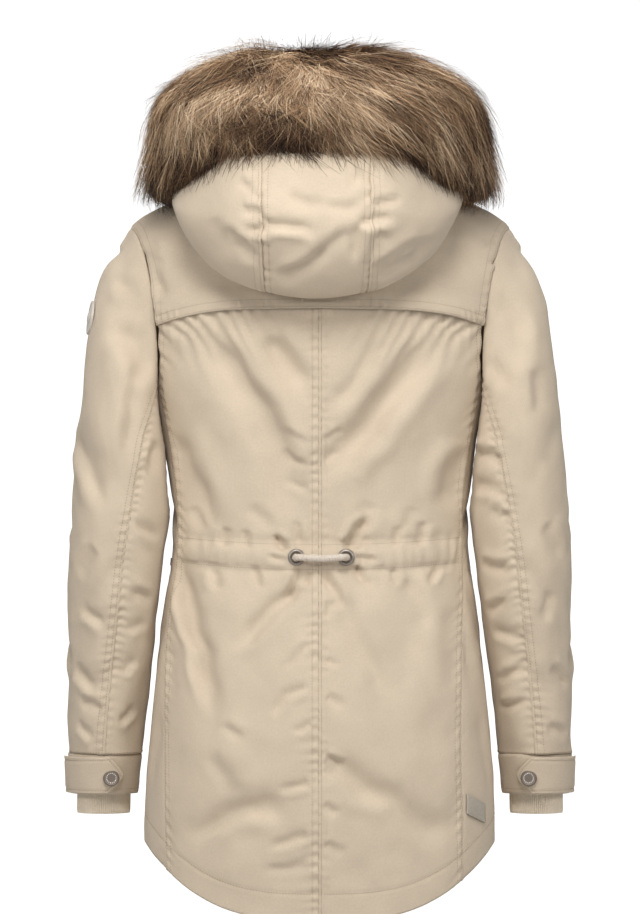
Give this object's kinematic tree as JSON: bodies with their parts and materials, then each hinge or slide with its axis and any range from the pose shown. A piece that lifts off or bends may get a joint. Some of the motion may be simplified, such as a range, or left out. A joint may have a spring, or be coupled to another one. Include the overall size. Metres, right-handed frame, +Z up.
{
  "type": "fur trimmed parka",
  "caption": "Worn hip-length parka, empty inside: back yoke, gathered waist with a short drawcord, lowered hood with a thick fur roll, ribbed cuffs.",
  "frame": {"origin": "between the wearer's shoulders, in the middle of the body, level with the back of the neck", "axes": "+Z up the wearer's back, -Y the way the wearer faces, +X towards the wearer's left"},
  "size_m": [0.5508, 0.3976, 0.9321],
  "materials": {
    "twill": "matt brushed cotton twill",
    "rib_knit": "ribbed knit",
    "fur": "long artificial fur pile",
    "metal": "dark brushed",
    "cord": "ribbed braided cord",
    "patch": "plain matt patch"
  },
  "bodies": {
    "root": {"back_left": "twill", "front_left": "twill", "side_panel_left": "twill", "outer_sleeve_left": "twill", "under_sleeve_left": "twill", "cuff_left": "twill", "cuff_tab_left": "twill", "rib_cuff_left": "rib_knit", "cuff_snap_left": "metal", "hood_side_left": "twill", "eyelet_left": "metal", "back_right": "twill", "front_right": "twill", "side_panel_right": "twill", "outer_sleeve_right": "twill", "under_sleeve_right": "twill", "cuff_right": "twill", "cuff_tab_right": "twill", "rib_cuff_right": "rib_knit", "cuff_snap_right": "metal", "hood_side_right": "twill", "eyelet_right": "metal", "yoke": "twill", "placket": "twill", "hood_centre": "twill", "hood_tab": "twill", "fur_trim": "fur", "drawcord": "cord", "hem_label": "patch", "sleeve_badge": "metal"}
  },
  "joints": []
}
